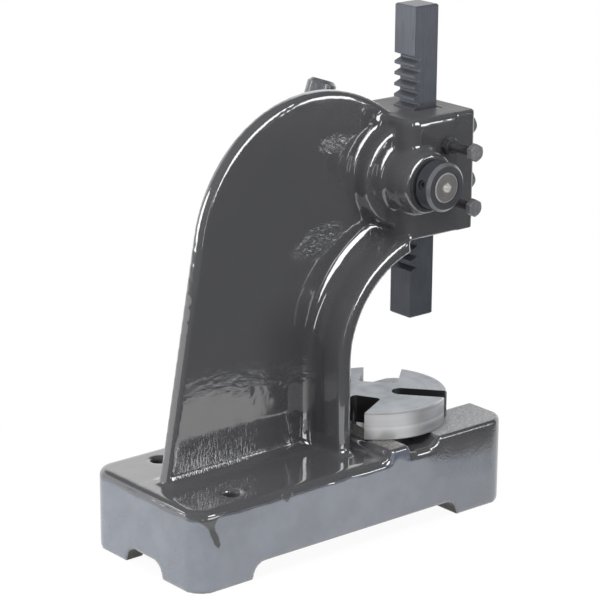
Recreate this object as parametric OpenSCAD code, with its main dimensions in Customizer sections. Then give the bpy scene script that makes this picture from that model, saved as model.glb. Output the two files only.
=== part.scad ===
// Rack arbor press: a C-frame casting, a toothed square ram, a pinion shaft and a sliding hand lever.
// Frame: +Z up from the bench, -Y to the front where the work lies, +X to the lever side.
// The origin is the middle of the base, on the bench.

/* [Base] */
// Width of the base across the press
base_width = 108; // [98:1:124]
// Length of the base from front to back
base_length = 254; // [246:1:290]
// Height of the base top above the bench
base_height = 52; // [46:1:60]
// Radius of the base's upright corners
base_corner = 13.4; // [10:0.2:18]
// Radius along the top edge of the base
base_edge = 4; // [2:0.5:5]
// Rise of the machined pads above the base top
pad_rise = 5.7; // [4:0.1:8]
// Distance of the rear pad in front of the throat face
rear_pad_setback = 12.7; // [10:0.1:16]
// Length of the rear pad
rear_pad_length = 16; // [10:1:22]
// Length of the hollow between the rear pad and the front pads
pad_gap = 25; // [16:1:30]
// Height of the arches between the feet
arch_height = 9.8; // [6:0.2:14]
// Length of each foot along the side
foot_length = 44; // [36:1:60]
// Width of the arch in the back wall
back_arch_width = 35; // [28:1:44]
// Thickness of the base's outer walls
base_wall = 14; // [10:1:18]
// Thickness of the base's roof
base_roof = 14; // [10:1:18]
// Width of the slot in the front end
slot_width = 36; // [24:1:40]
// Length of the slot from the front end to its round end
slot_length = 77; // [60:1:82]
// Diameter of the bench bolt holes
bench_hole_d = 11; // [8:0.5:13]
// Spacing of the bench bolt holes across the base
bench_hole_spacing = 72; // [62:1:76]
// Distance of the bench bolt holes from the back end
bench_hole_inset = 39.5; // [30:0.5:44]

/* [Column] */
// Distance of the throat face in front of the base's middle
throat_setback = 12.8; // [8:0.1:16]
// Thickness of the web
web_t = 10; // [8:0.5:14]
// Width of the throat flange
flange_width = 62; // [52:1:66]
// Thickness of the throat flange
flange_t = 10; // [8:0.5:13]
// Radius along the flange's free edges
flange_edge = 2; // [1:0.5:3.5]
// Radius of the blend between flange and web
flange_blend = 10.5; // [6:0.5:13]
// Radius of the throat curve
throat_radius = 66; // [62:1:70]
// Radius of the crown's outer curve
crown_radius = 92.6; // [88:0.1:96]
// Rise of the crown above the head's top face
crown_rise = 20.5; // [14:0.5:24]
// Distance of the crown's centre in front of the base's middle
crown_setback = 6.8; // [2:0.1:12]
// Lean of the back edge in degrees
back_lean = 10.3; // [6:0.1:12]
// Radius along the rim of the web
rim_edge = 2.5; // [1:0.5:3.5]
// Radius of the blends at the column's foot
foot_blend = 7; // [4:0.5:9]

/* [Head] */
// Width of the head across the press
head_width = 62; // [58:1:70]
// Height of the head block
head_height = 77; // [72:1:86]
// Height from the pads up to the head's bottom face
head_clear = 124.6; // [120:0.2:130]
// Distance from the ram's centre back to the head's back face
head_back = 31.3; // [28:0.1:34]
// Thickness of the front cover in front of the ram
cover_t = 14.2; // [10:0.2:18]
// Radius of the head's upright back corners
head_corner = 8; // [5:0.5:9]
// Radius of the cover's upright front corners
cover_corner = 3; // [3:0.5:8]
// Radius along the head's top edges
head_edge = 2.5; // [1:0.25:2.5]
// Radius along the cover's top and bottom edges
cover_edge = 1.5; // [1:0.25:1.5]
// Radius of the blend between head and web
head_blend = 9; // [5:0.5:11]
// Radius of the wide disc around the pinion
disc_radius = 33.3; // [30:0.1:36]
// Reach of the wide disc from the middle plane
disc_reach = 16.5; // [13:0.5:20]
// Radius of the plain side's boss
boss_radius = 20; // [18:0.5:22]
// Reach of the plain side's boss from the middle plane
boss_reach = 39.3; // [37:0.1:44]
// Radius of the lever side's boss
lever_boss_radius = 23; // [22:0.5:25]
// Reach of the lever side's boss from the middle plane
lever_boss_reach = 58; // [50:1:62]
// Radius of the blends at the feet of the bosses
boss_blend = 4.5; // [2.5:0.5:5.5]
// Radius along the edges of disc and bosses
boss_edge = 2.5; // [1:0.25:3]

/* [Ram] */
// Side of the square ram
ram_size = 19; // [17:0.5:20]
// Distance from the ram's centre back to the throat face
throat_depth = 76.5; // [74:0.5:82]
// Number of tooth spaces in the rack
rack_spaces = 20; // [18:1:22]
// Number of tooth spaces below the pinion's axis
spaces_below = 9; // [7:1:11]
// Plain length at each end of the ram, to the nearest space's middle
ram_end = 34; // [28:1:40]
// Bevel around the ram's ends
ram_bevel = 0.8; // [0.4:0.1:1.5]

/* [Pinion] */
// Tooth module of rack and pinion
tooth_module = 2.25; // [2.2:0.01:2.3]
// Number of pinion teeth
pinion_teeth = 12; // [12:1:12]
// Pressure angle of the teeth in degrees
pressure_angle = 20; // [20:0.5:21]
// Length of the pinion's teeth
face_width = 24; // [22:0.5:25]
// Diameter of the shaft on the plain side
shaft_d = 19.5; // [17:0.5:20]
// Diameter of the shaft's lever head
lever_head_d = 38; // [36:0.5:42]
// Distance of the lever bar from the middle plane
lever_reach = 83; // [80:0.5:90]
// Length of the lever head beyond the bar's centre line
lever_head_beyond = 20; // [16:0.5:26]
// Bevel on the lever head and the shaft's end
shaft_bevel = 1.5; // [0.5:0.1:2]
// Diameter of the centre mark in the shaft's end
centre_mark_d = 5; // [3:0.5:6]
// Height of the pinion's axis as a share of the head's height
axis_share = 0.49; // [0.48:0.005:0.51]

/* [Collar] */
// Outer diameter of the retaining collar
collar_d = 31; // [28:0.5:34]
// Length of the retaining collar
collar_length = 13; // [12:0.5:16]
// Bevel on the collar's outer edge
collar_bevel = 1.8; // [0.5:0.1:2.5]
// Diameter of the set screw
set_screw_d = 6; // [4:0.5:8]
// Depth of the set screw below the collar's surface
set_screw_sink = 1.5; // [0.5:0.1:2]
// Direction of the set screw in degrees, from the back towards the top
set_screw_angle = 11.5; // [0:0.5:90]
// Across-flats size of the set screw's socket
socket_af = 3; // [2:0.1:4]
// Depth of the set screw's socket
socket_depth = 1.5; // [1:0.1:2]
// Thickness of the thrust washer
thrust_t = 1.4; // [1:0.1:2]
// Diameter of the thrust washer
thrust_d = 33; // [29:0.5:36]

/* [Lever] */
// Diameter of the lever bar
bar_d = 12.7; // [11:0.1:14]
// Length of the lever over both caps
lever_length = 250; // [240:1:280]
// Diameter of the lever caps
cap_d = 19.5; // [18:0.5:22]
// Length of each lever cap
cap_length = 26; // [22:0.5:30]
// Bevel on the outer end of each cap
cap_bevel = 2.5; // [1.5:0.1:3]
// Thickness of the cap's closed end
cap_wall = 6; // [4:0.5:8]
// Lean of the lever towards the front in degrees
lever_lean = 20; // [14:1:26]

/* [Table plate] */
// Diameter of the loose table plate
plate_d = 92; // [88:0.5:96]
// Thickness of the table plate
plate_t = 18.2; // [14:0.2:20]
// Gap between the plate and the throat face
plate_gap = 1; // [0.8:0.1:3]
// Bevel around the plate's edges
plate_bevel = 0.8; // [0.4:0.1:1.5]
// Widths of the plate's slots
slot_widths = [25.4, 12.7, 19, 31.8]; // [8:0.1:34]
// Directions of the plate's slots in degrees, from +X towards +Y
slot_angles = [-47.5, -140, 118, 40]; // [-180:0.5:180]
// Distances of the slots' inner ends from the plate's centre
slot_starts = [15, 10.6, 15, 18]; // [8:0.1:24]
// Corner radii of the slots' inner ends
slot_corners = [3, 6.3, 3, 3]; // [1:0.1:6.3]

/* [Fasteners] */
// Thread diameter of all bolts
bolt_d = 6; // [5.5:0.05:6.4]
// Across-flats size of bolt heads and nuts
hex_af = 10; // [9.5:0.1:11]
// Height of the bolt heads
bolt_head_h = 4; // [3.5:0.1:5]
// Height of the lock nuts
nut_h = 5.2; // [4.5:0.1:7]
// Reach of the gib bolts out of the head's side
gib_bolt_reach = 27; // [23:0.5:32]
// Height of the upper gib bolt above the pinion's axis
gib_bolt_up = 19.5; // [17:0.5:23]
// Distance of the lower gib bolt below the pinion's axis
gib_bolt_down = 15.7; // [15.5:0.1:20]
// Distance of the cover bolts from the middle plane
cover_bolt_x = 21.5; // [20:0.5:23]
// Height of the upper cover bolts above the pinion's axis
cover_bolt_up = 27; // [25:0.5:30]
// Distance of the lower cover bolts below the pinion's axis
cover_bolt_down = 8.5; // [8:0.1:8.6]
// Depth of the cover bolts' threads in the casting
cover_bolt_depth = 15; // [10:0.5:15]
// Thickness of the spring washers
washer_t = 1.6; // [1.2:0.1:2]
// Outer diameter of the spring washers
washer_d = 10.6; // [10:0.1:11]
// Width of the split in the spring washers
washer_split = 1; // [0.6:0.1:1.5]
// Thickness of the ram gib
gib_t = 4; // [3:0.5:4.5]
// Cover over the gib's ends
gib_cover = 6; // [4:0.5:8]

/* [Fits] */
// Radial clearance of turning and sliding round fits
running_clearance = 0.05; // [0.03:0.01:0.08]
// Clearance on each side of the ram
ram_clearance = 0.1; // [0.08:0.01:0.15]
// Backlash taken from rack and pinion teeth
backlash = 0.12; // [0.1:0.01:0.2]
// Radial clearance of threads and clearance holes
thread_clearance = 0.08; // [0.05:0.01:0.1]
// Gap between faces that turn past each other
face_gap = 0.35; // [0.3:0.05:0.5]

/* [Hidden] */
$fn = 64;

// Distance of a blend's centre from both its walls, as a share of its radius
blend_centre_share = 0.985;

// Corner radius of the arches as a share of their height
arch_corner_share = 0.8;

// Overrun of every cut past the face it opens, and the bond of a blend into its body
overrun = base_height / 40;
bond = base_height / 60;

// Heights
pad_z = base_height + pad_rise;
head_z = pad_z + head_clear;
head_top = head_z + head_height;
axis_z = head_z + head_height * axis_share;

// Places along the press, front to back
throat_y = -throat_setback;
ram_y = throat_y - throat_depth;
head_back_y = ram_y + head_back;
split_y = ram_y - ram_size / 2 - ram_clearance;
front_y = split_y - cover_t;
rear_pad_y = throat_y - rear_pad_setback;
front_pad_y = rear_pad_y - rear_pad_length - pad_gap;
bench_hole_y = base_length / 2 - bench_hole_inset;
arc_y = throat_y - throat_radius;
throat_rise_share = 0.89;
arc_z = base_height + throat_radius * throat_rise_share;
throat_sweep = 75;
crown_sweep = 130;

// Crown and back edge
crown_y = -crown_setback;
crown_z = head_top + crown_rise - crown_radius;
edge_y = crown_y + crown_radius * cos(back_lean);
edge_z = crown_z + crown_radius * sin(back_lean);
edge_drop = (edge_z - base_height) / cos(back_lean) + base_roof / 2;
heel_y = edge_y + (edge_z - base_height) * tan(back_lean);
rim_band_shares = 1.5;
rim_band = web_t * rim_band_shares;
plate_inset_share = 0.65;
plate_inset = rim_band * plate_inset_share;
plate_heel_y = heel_y + base_roof / 2 * tan(back_lean) - plate_inset / cos(back_lean);

// Rack and pinion
profile_shift_share = 0.3;
addendum_share = 1;
dedendum_share = 1.25;
tooth_pitch = PI * tooth_module;
pitch_radius = tooth_module * pinion_teeth / 2;
base_radius = pitch_radius * cos(pressure_angle);
tip_radius = pitch_radius + tooth_module * (addendum_share + profile_shift_share);
root_radius = pitch_radius - tooth_module * (dedendum_share - profile_shift_share);
tooth_depth = tooth_module * (addendum_share + dedendum_share);
axis_y = ram_y + ram_size / 2 + pitch_radius - tooth_module * (addendum_share - profile_shift_share);
ram_length = 2 * ram_end + (rack_spaces - 1) * tooth_pitch;
ram_z = axis_z - spaces_below * tooth_pitch - ram_end;
flank_steps = 8;

// Pinion shaft and its bearings, as distances along X from the middle plane
shaft_r = shaft_d / 2;
journal_r = tip_radius + 4 * running_clearance;
chamber_x = face_width / 2 + face_gap;
lever_head_x = lever_boss_reach + face_gap;
lever_head_end = lever_reach + lever_head_beyond;
thrust_x = boss_reach + face_gap / 2;
collar_x = thrust_x + thrust_t + running_clearance;
shaft_end_x = collar_x + collar_length + running_clearance;

// Lever, as distances along its bar from the pinion's axis
cap_inner = lever_head_d / 2 + face_gap;
lever_top = cap_inner + cap_length;
lever_bottom = lever_top - lever_length;

// Fasteners
bolt_r = bolt_d / 2;
gib_x = ram_size / 2 + ram_clearance;
gib_depth_share = 0.7;
gib_depth = ram_size * gib_depth_share;
head_side = head_width / 2;
hex_cone_share = 2;
hex_face_share = 0.93;
plate_y = throat_y - plate_gap - plate_d / 2;

// Turns a shape so that its x, y and z run along Y, Z and X
module lay_across() {
    rotate([90, 0, 90]) children();
}

// A concave corner blend in two dimensions, filling the corner at the origin
module blend_2d(radius) {
    centre = radius * blend_centre_share;
    difference() {
        translate([-bond, -bond]) square(radius + bond);
        translate([centre, centre]) circle(radius);
    }
}

// The cross-section of a slab with round top edges
module slab_section(width, height, edge) {
    translate([-width / 2, 0]) square([width, height - edge]);
    translate([-width / 2 + edge, 0]) square([width - 2 * edge, height]);
    for (side = [-1, 1]) translate([side * (width / 2 - edge), height - edge]) circle(edge);
}

// Half of that cross-section, for the slab's upright corners
module slab_corner_section(corner, height, edge) {
    square([corner, height - edge]);
    square([corner - edge, height]);
    translate([corner - edge, height - edge]) circle(edge);
}

// A slab standing on the plane z = 0 with round corners and round top edges
module rounded_slab(width, length, height, corner, edge) {
    rotate([90, 0, 0]) linear_extrude(length - 2 * corner, center = true) slab_section(width, height, edge);
    lay_across() linear_extrude(width - 2 * corner, center = true) slab_section(length, height, edge);
    for (side = [-1, 1], end = [-1, 1])
        translate([side * (width / 2 - corner), end * (length / 2 - corner), 0])
            rotate_extrude() slab_corner_section(corner, height, edge);
}

// A rectangle with round corners
module rounded_rectangle(width, length, corner) {
    square([width - 2 * corner, length], center = true);
    square([width, length - 2 * corner], center = true);
    for (side = [-1, 1], end = [-1, 1])
        translate([side * (width / 2 - corner), end * (length / 2 - corner)]) circle(corner);
}

// A hexagon prism along +Z with bevelled corners at its far end
module hex_prism(flats, height) {
    intersection() {
        cylinder(h = height, d = flats / cos(30), $fn = 6);
        cylinder(h = height, d1 = flats * hex_cone_share, d2 = flats * hex_face_share);
    }
}

// The base block with its hollow underside, feet and slot
module base_pads() {
    difference() {
        linear_extrude(pad_z) intersection() {
            rounded_rectangle(base_width, base_length, base_corner);
            union() {
                translate([-base_width / 2, rear_pad_y - rear_pad_length]) square([base_width, rear_pad_length]);
                translate([-base_width / 2, -base_length / 2])
                    square([base_width, base_length / 2 + front_pad_y]);
            }
        }
        translate([0, 0, -overrun]) linear_extrude(base_height - base_edge)
            square([2 * base_width, 2 * base_length], center = true);
    }
}

module pad_blends() {
    radius = pad_rise - bond / 2;
    intersection() {
        translate([0, 0, base_height - bond]) linear_extrude(2 * pad_rise)
            rounded_rectangle(base_width, base_length, base_corner);
        translate([0, 0, base_height]) {
            translate([0, rear_pad_y, 0]) lay_across()
                linear_extrude(base_width, center = true) blend_2d(radius);
            translate([0, rear_pad_y - rear_pad_length, 0]) mirror([0, 1, 0]) lay_across()
                linear_extrude(base_width, center = true) blend_2d(radius);
            translate([0, front_pad_y, 0]) lay_across()
                linear_extrude(base_width, center = true) blend_2d(radius);
        }
    }
}

module base_hollow() {
    hollow_front = -base_length / 2 + slot_length + base_wall;
    hollow_back = base_length / 2 - base_wall;
    translate([0, (hollow_front + hollow_back) / 2, -overrun])
        linear_extrude(base_height - base_roof + overrun)
            rounded_rectangle(base_width - 2 * base_wall, hollow_back - hollow_front, base_corner / 2);
}

module arch_2d(width) {
    corner = arch_height * arch_corner_share;
    translate([-width / 2, -overrun]) square([width, arch_height - corner + overrun]);
    translate([-width / 2 + corner, -overrun]) square([width - 2 * corner, arch_height + overrun]);
    for (side = [-1, 1]) translate([side * (width / 2 - corner), arch_height - corner]) circle(corner);
}
module base_arches() {
    lay_across() linear_extrude(2 * base_width, center = true) arch_2d(base_length - 2 * foot_length);
    translate([0, base_length / 2 + overrun, 0]) rotate([90, 0, 0])
        linear_extrude(2 * base_wall) arch_2d(back_arch_width);
}

module base_slot() {
    round_y = -base_length / 2 + slot_length - slot_width / 2;
    translate([0, 0, -overrun]) linear_extrude(pad_z + 2 * overrun) {
        translate([0, round_y]) circle(d = slot_width);
        translate([-slot_width / 2, -base_length]) square([slot_width, base_length + round_y]);
    }
}

module bench_bosses(radius, bottom, top) {
    for (side = [-1, 1]) translate([side * bench_hole_spacing / 2, bench_hole_y, bottom])
        cylinder(h = top - bottom, r = radius);
}

module base() {
    difference() {
        union() {
            difference() {
                rounded_slab(base_width, base_length, base_height, base_corner, base_edge);
                base_hollow();
            }
            base_pads();
            pad_blends();
            bench_bosses(bench_hole_d, arch_height / 2, base_height - base_roof / 2);
        }
        base_arches();
        base_slot();
        bench_bosses(bench_hole_d / 2, -overrun, pad_z);
    }
}

// The web: a round-edged rim over the crown and down the back edge, with a flat plate inside it
module rim_section() {
    inner = crown_radius - rim_band;
    translate([inner, -web_t / 2]) square([rim_band - rim_edge, web_t]);
    translate([inner, -web_t / 2 + rim_edge]) square([rim_band, web_t - 2 * rim_edge]);
    for (side = [-1, 1])
        translate([crown_radius - rim_edge, side * (web_t / 2 - rim_edge)]) circle(rim_edge);
}

module web_plate() {
    inset = rim_band / 2;
    buried = throat_radius + flange_t / 2;
    difference() {
        union() {
            translate([crown_y, crown_z]) circle(crown_radius - inset);
            polygon([
                [crown_y, crown_z],
                [edge_y - plate_inset * cos(back_lean), edge_z - plate_inset * sin(back_lean)],
                [plate_heel_y, base_height - base_roof / 2],
                [throat_y + flange_t / 2, base_height - base_roof / 2], [throat_y + flange_t / 2, arc_z]
            ]);
        }
        translate([arc_y, arc_z]) circle(buried);
        translate([head_back_y + bond - base_length, 0]) square([base_length, head_z + bond]);
        translate([ram_y - base_length, 0]) square([base_length, head_top + crown_rise]);
    }
}

module web() {
    translate([0, crown_y, crown_z]) lay_across() rotate(back_lean)
        rotate_extrude(angle = crown_sweep) rim_section();
    translate([0, crown_y, crown_z]) rotate([back_lean, 0, 0]) rotate([180, 0, 90])
        linear_extrude(edge_drop) rim_section();
    lay_across() linear_extrude(web_t, center = true) web_plate();
}

// The throat flange: one section carried up the column and round the throat curve
module flange_section() {
    translate([throat_radius, 0]) {
        translate([flange_t / 2, 0]) rounded_rectangle(flange_t, flange_width, flange_edge);
        for (side = [0, 1]) mirror([0, side])
            translate([flange_t, web_t / 2]) blend_2d(flange_blend);
    }
}

module flange() {
    translate([0, arc_y, arc_z]) lay_across() rotate_extrude(angle = throat_sweep) flange_section();
    translate([0, arc_y, base_height - base_roof / 2])
        linear_extrude(arc_z - base_height + base_roof / 2) rotate(90) flange_section();
}

module column_feet() {
    flange_foot = foot_blend / 2 + flange_edge / 2;
    web_length = heel_y - rim_edge - throat_y - flange_t / 2;
    translate([0, 0, base_height]) {
        for (side = [0, 1]) mirror([side, 0, 0]) {
            translate([web_t / 2, heel_y - rim_edge, 0]) rotate([90, 0, 0])
                linear_extrude(web_length) blend_2d(foot_blend);
            translate([flange_width / 2, throat_y + flange_edge, 0]) rotate([90, 0, 180])
                linear_extrude(flange_t - 2 * flange_edge) mirror([1, 0]) blend_2d(flange_foot);
        }
    }
}

// The head block behind the split plane, and its blends to the web
module head_block(corner, edge, back_y, front_end) {
    translate([0, (back_y + front_end) / 2, head_z])
        rounded_slab(head_width, back_y - front_end, head_height, corner, edge);
}

module head_blends() {
    for (side = [0, 1]) mirror([side, 0, 0])
        translate([web_t / 2, head_back_y, head_z]) linear_extrude(head_height - head_edge)
            blend_2d(head_blend);
}

// The disc and bosses around the pinion's axis
module boss_step(radius, from, to) {
    translate([0, from]) square([radius - boss_edge, to - from]);
    translate([0, from + boss_edge]) square([radius, to - from - 2 * boss_edge]);
    for (end = [from + boss_edge, to - boss_edge]) translate([radius - boss_edge, end]) circle(boss_edge);
}

module boss_section() {
    boss_step(disc_radius, -disc_reach, disc_reach);
    boss_step(boss_radius, -boss_reach, 0);
    boss_step(lever_boss_radius, 0, lever_boss_reach);
    translate([boss_radius, -disc_reach]) mirror([0, 1]) blend_2d(boss_blend);
    translate([lever_boss_radius, disc_reach]) blend_2d(boss_blend);
}

module bosses() {
    translate([0, axis_y, axis_z]) lay_across() rotate_extrude() boss_section();
}

// The bearing bores and the pinion's chamber
module pinion_bores() {
    translate([0, axis_y, axis_z]) lay_across() {
        translate([0, 0, -boss_reach - overrun])
            cylinder(h = boss_reach, r = shaft_r + running_clearance);
        translate([0, 0, -chamber_x])
            cylinder(h = chamber_x + lever_boss_reach + overrun, r = journal_r + running_clearance);
    }
}

// The square way for the ram, open to the front, with a pocket for the gib beside it
module ram_way() {
    half = ram_size / 2 + ram_clearance;
    translate([-half, front_y, head_z - overrun])
        cube([2 * half, ram_y + half - front_y, head_height + crown_rise + overrun]);
    translate([-gib_x - gib_t, front_y, head_z + gib_cover])
        cube([gib_t + half, split_y + gib_depth + face_gap - front_y, head_height - 2 * gib_cover]);
}

module gib_bolt_hole(z) {
    translate([-head_side - overrun, ram_y, z]) lay_across()
        cylinder(h = head_side, r = bolt_r + thread_clearance);
}

module cover_bolt_holes(from, depth) {
    for (side = [-1, 1], z = [axis_z + cover_bolt_up, axis_z - cover_bolt_down])
        translate([side * cover_bolt_x, from, z]) rotate([-90, 0, 0])
            cylinder(h = depth, r = bolt_r + thread_clearance);
}

module frame_casting() {
    color("#4b4c4e") difference() {
        union() {
            base();
            web();
            flange();
            column_feet();
            head_block(head_corner, head_edge, head_back_y, front_y);
            head_blends();
            bosses();
        }
        translate([-base_width / 2, split_y - base_length, head_z - overrun])
            cube([base_width, base_length, head_height + 2 * overrun]);
        pinion_bores();
        ram_way();
        gib_bolt_hole(axis_z + gib_bolt_up);
        gib_bolt_hole(axis_z - gib_bolt_down);
        cover_bolt_holes(split_y - overrun, cover_bolt_depth + 2 * overrun);
    }
}

// The plate that closes the ram's way in front
module front_cover() {
    color("#4b4c4e") difference() {
        head_block(cover_corner, cover_edge, head_back_y, front_y);
        translate([-base_width / 2, split_y, head_z - overrun])
            cube([base_width, base_length, head_height + 2 * overrun]);
        cover_bolt_holes(front_y - overrun, cover_t + 2 * overrun);
    }
}

// A bolt with its head on z = 0, its shank along -Z
module hex_bolt(shank) {
    hex_prism(hex_af, bolt_head_h);
    translate([0, 0, -shank]) cylinder(h = shank + bolt_head_h / 2, r = bolt_r);
}

module cover_bolt(side, z) {
    color("#3c3d40") translate([side * cover_bolt_x, front_y - washer_t, z]) rotate([90, 0, 0])
        hex_bolt(washer_t + cover_t + cover_bolt_depth);
}

module cover_washer(side, z) {
    color("#55575a") translate([side * cover_bolt_x, front_y, z]) rotate([90, 0, 0]) difference() {
        cylinder(h = washer_t, d = washer_d);
        translate([0, 0, -overrun]) cylinder(h = washer_t + 2 * overrun, r = bolt_r + thread_clearance);
        rotate(45) translate([0, -washer_split / 2, -overrun])
            cube([washer_d, washer_split, washer_t + 2 * overrun]);
    }
}

// The square ram with its rack
module rack_space() {
    slope = tan(pressure_angle);
    half_mid = tooth_pitch / 4 + backlash / 4;
    half_face = half_mid + tooth_module * addendum_share * slope;
    half_root = half_mid - tooth_module * dedendum_share * slope;
    polygon([
        [overrun, half_face + overrun * slope], [overrun, -half_face - overrun * slope],
        [-tooth_depth, -half_root], [-tooth_depth, half_root]
    ]);
}

module ram() {
    color("#6a7078") difference() {
        translate([0, ram_y, ram_z]) intersection() {
            translate([-ram_size / 2, -ram_size / 2, 0]) cube([ram_size, ram_size, ram_length]);
            lay_across() linear_extrude(2 * ram_size, center = true) ram_outline();
            rotate([90, 0, 0]) linear_extrude(2 * ram_size, center = true) ram_outline();
        }
        for (space = [0 : rack_spaces - 1])
            translate([0, ram_y + ram_size / 2, ram_z + ram_end + space * tooth_pitch]) lay_across()
                linear_extrude(2 * ram_size, center = true) rack_space();
    }
}

module ram_outline() {
    polygon([
        [ram_bevel - ram_size / 2, 0], [ram_size / 2 - ram_bevel, 0], [ram_size / 2, ram_bevel],
        [ram_size / 2, ram_length - ram_bevel], [ram_size / 2 - ram_bevel, ram_length],
        [ram_bevel - ram_size / 2, ram_length], [-ram_size / 2, ram_length - ram_bevel],
        [-ram_size / 2, ram_bevel]
    ]);
}

// The strip that the gib bolts press against the ram's side
module ram_gib() {
    color("#9a8a5c") translate([-gib_x - gib_t, split_y, head_z + gib_cover + face_gap])
        cube([gib_t, gib_depth, head_height - 2 * gib_cover - 2 * face_gap]);
}

module gib_bolt(z) {
    head_x = head_side + gib_bolt_reach - bolt_head_h;
    color("#3c3d40") translate([-head_x, ram_y, z]) rotate([0, -90, 0])
        hex_bolt(head_x - gib_x - gib_t);
}

module gib_lock_nut(z) {
    color("#3c3d40") translate([-head_side, ram_y, z]) rotate([0, -90, 0]) difference() {
        rotate(30) hex_prism(hex_af, nut_h);
        translate([0, 0, -overrun]) cylinder(h = nut_h + 2 * overrun, r = bolt_r + thread_clearance);
    }
}

// One involute tooth of the pinion, pointing along +x
function involute(angle) = tan(angle) * 180 / PI - angle;
function flank_angle(radius) =
    (tooth_pitch / 2 + 2 * tooth_module * profile_shift_share * tan(pressure_angle) - backlash / 2)
    / (2 * pitch_radius) * 180 / PI
    + involute(pressure_angle) - involute(acos(min(base_radius / radius, 1)));
function flank_radius(step) = base_radius + (tip_radius - base_radius) * step / flank_steps;

module pinion_tooth() {
    inner = root_radius - bond;
    half = [for (step = [0 : flank_steps]) [flank_radius(step), flank_angle(flank_radius(step))]];
    side = concat([[inner, flank_angle(base_radius)]], half);
    upper = [for (point = side) point[0] * [cos(point[1]), sin(point[1])]];
    lower = [for (step = [len(side) - 1 : -1 : 0]) side[step][0] * [cos(side[step][1]), -sin(side[step][1])]];
    polygon(concat(upper, lower));
}

// The shaft: plain journal, pinion, wide journal and lever head, turned from one bar
module pinion_shaft() {
    head_length = lever_head_end - lever_head_x;
    color("#77797c") translate([0, axis_y, axis_z]) difference() {
        lay_across() {
            rotate_extrude() polygon([
                [0, -shaft_end_x], [shaft_r - shaft_bevel / 2, -shaft_end_x],
                [shaft_r, -shaft_end_x + shaft_bevel / 2], [shaft_r, -face_width / 2 + bond],
                [0, -face_width / 2 + bond]
            ]);
            translate([0, 0, -face_width / 2]) linear_extrude(face_width) {
                circle(root_radius);
                for (tooth = [0 : pinion_teeth - 1]) rotate(180 + tooth * 360 / pinion_teeth) pinion_tooth();
            }
            rotate_extrude() polygon([
                [0, face_width / 2 - bond], [root_radius, face_width / 2 - bond],
                [root_radius, face_width / 2], [journal_r, face_width / 2], [journal_r, lever_head_x],
                [lever_head_d / 2 - shaft_bevel, lever_head_x],
                [lever_head_d / 2, lever_head_x + shaft_bevel],
                [lever_head_d / 2, lever_head_end - shaft_bevel],
                [lever_head_d / 2 - shaft_bevel, lever_head_end], [0, lever_head_end]
            ]);
        }
        translate([lever_reach, 0, 0]) rotate([lever_lean, 0, 0])
            cylinder(h = 2 * lever_head_d, r = bar_d / 2 + running_clearance, center = true);
        translate([-shaft_end_x, 0, 0]) rotate([0, 90, 0])
            cylinder(h = centre_mark_d * cos(30), d1 = centre_mark_d, d2 = 0);
    }
}

module thrust_washer() {
    color("#2c2d30") translate([-thrust_x - thrust_t, axis_y, axis_z]) lay_across() difference() {
        cylinder(h = thrust_t, d = thrust_d);
        translate([0, 0, -overrun]) cylinder(h = thrust_t + 2 * overrun, r = shaft_r + thread_clearance);
    }
}

module retaining_collar() {
    color("#33363c") translate([-collar_x - collar_length, axis_y, axis_z]) difference() {
        lay_across() rotate_extrude() polygon([
            [shaft_r + running_clearance, 0], [collar_d / 2 - collar_bevel, 0],
            [collar_d / 2, collar_bevel], [collar_d / 2, collar_length - collar_bevel],
            [collar_d / 2 - collar_bevel, collar_length], [shaft_r + running_clearance, collar_length]
        ]);
        translate([collar_length / 2, 0, 0]) rotate([set_screw_angle - 90, 0, 0])
            cylinder(h = collar_d, r = set_screw_d / 2 + thread_clearance);
    }
}

module collar_set_screw() {
    bottom = shaft_r + running_clearance;
    height = collar_d / 2 - set_screw_sink - bottom;
    color("#26282c") translate([-collar_x - collar_length / 2, axis_y, axis_z])
        rotate([set_screw_angle - 90, 0, 0]) translate([0, 0, bottom]) difference() {
            cylinder(h = height, d = set_screw_d);
            translate([0, 0, height - socket_depth])
                cylinder(h = socket_depth + overrun, d = socket_af / cos(30), $fn = 6);
        }
}

// The lever bar and its two end caps, drawn along +Z through the pinion's axis
module lean_lever() {
    translate([lever_reach, axis_y, axis_z]) rotate([lever_lean, 0, 0]) children();
}

module lever_bar() {
    color("#a4a7ab") lean_lever() translate([0, 0, lever_bottom + cap_wall])
        cylinder(h = lever_length - 2 * cap_wall, d = bar_d);
}

module lever_cap() {
    color("#2b2c2f") difference() {
        rotate_extrude() polygon([
            [0, 0], [cap_d / 2 - cap_bevel / 2, 0], [cap_d / 2, cap_bevel / 2],
            [cap_d / 2, cap_length - cap_bevel], [cap_d / 2 - cap_bevel, cap_length], [0, cap_length]
        ]);
        translate([0, 0, -overrun])
            cylinder(h = cap_length - cap_wall + overrun, r = bar_d / 2 + running_clearance);
    }
}

module lever_cap_upper() {
    lean_lever() translate([0, 0, cap_inner]) lever_cap();
}

module lever_cap_lower() {
    lean_lever() translate([0, 0, lever_bottom + cap_length]) mirror([0, 0, 1]) lever_cap();
}

// The loose round plate with slots of four widths
module plate_slot(width, start, corner) {
    translate([start + corner, -width / 2]) square([plate_d, width]);
    translate([start, corner - width / 2]) square([plate_d, width - 2 * corner]);
    for (side = [-1, 1]) translate([start + corner, side * (width / 2 - corner)]) circle(corner);
}

module table_plate() {
    color("#a9abad") translate([0, plate_y, pad_z]) difference() {
        rotate_extrude() polygon([
            [0, 0], [plate_d / 2 - plate_bevel, 0], [plate_d / 2, plate_bevel],
            [plate_d / 2, plate_t - plate_bevel], [plate_d / 2 - plate_bevel, plate_t], [0, plate_t]
        ]);
        translate([0, 0, -overrun]) linear_extrude(plate_t + 2 * overrun)
            for (slot = [0 : len(slot_widths) - 1]) rotate(slot_angles[slot])
                plate_slot(slot_widths[slot], slot_starts[slot], slot_corners[slot]);
    }
}

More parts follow.
